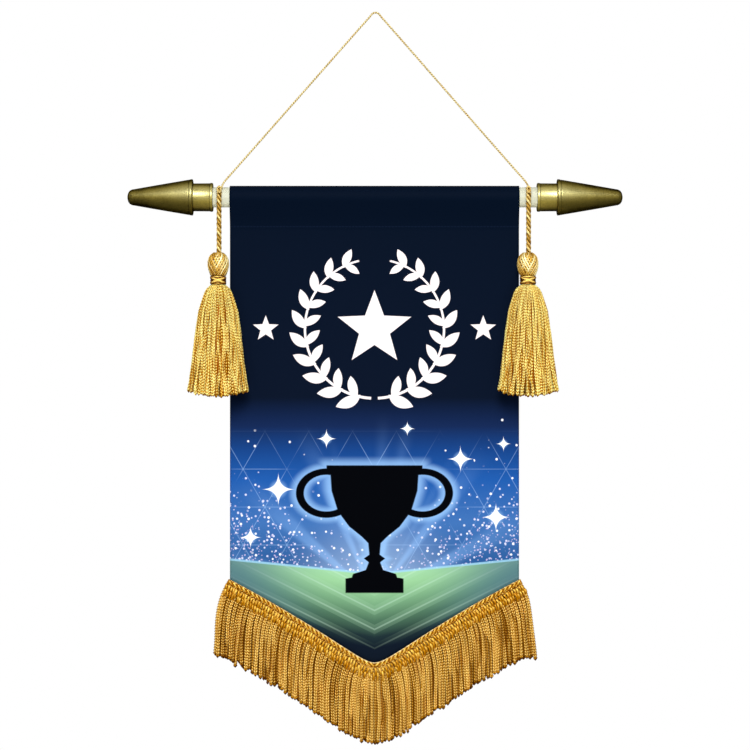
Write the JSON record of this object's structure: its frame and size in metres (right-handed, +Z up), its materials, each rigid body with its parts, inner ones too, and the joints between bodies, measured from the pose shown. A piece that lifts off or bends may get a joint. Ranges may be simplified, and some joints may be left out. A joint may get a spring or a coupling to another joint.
{
  "type": "podium banner on a hanging rod",
  "caption": "Small pointed cloth banner hung from a capped rod by a thin gold cord, with a gold chain fringe and two gold tassels.",
  "frame": {"origin": "underside of the hanging cord's top bend, where it lies over its hook", "axes": "+Z up, +X along the rod to the right of someone facing the print, -Y the way the print faces"},
  "size_m": [0.3906, 0.046, 0.5802],
  "materials": {
    "rod": "pale ivory, smooth",
    "cap": "plated antique brass, polished",
    "printed_cloth": "printed woven polyester, satin",
    "gold_yarn": "rayon chain yarn, soft sheen",
    "gold_cord": "twisted rayon cord, soft sheen",
    "dark_gold_yarn": "wound rayon yarn, satin"
  },
  "bodies": {
    "root": {"rod": "rod", "cap_left": "cap", "cap_right": "cap", "banner_cloth": "printed_cloth", "fringe": "gold_yarn", "hanging_cord": "gold_cord", "tassel_cord_left": "gold_cord", "tassel_cord_right": "gold_cord", "rod_loop_left": "gold_cord", "rod_loop_right": "gold_cord", "tassel_left": "gold_yarn", "tassel_right": "gold_yarn", "neck_binding_left": "dark_gold_yarn", "neck_binding_right": "dark_gold_yarn"}
  },
  "joints": []
}
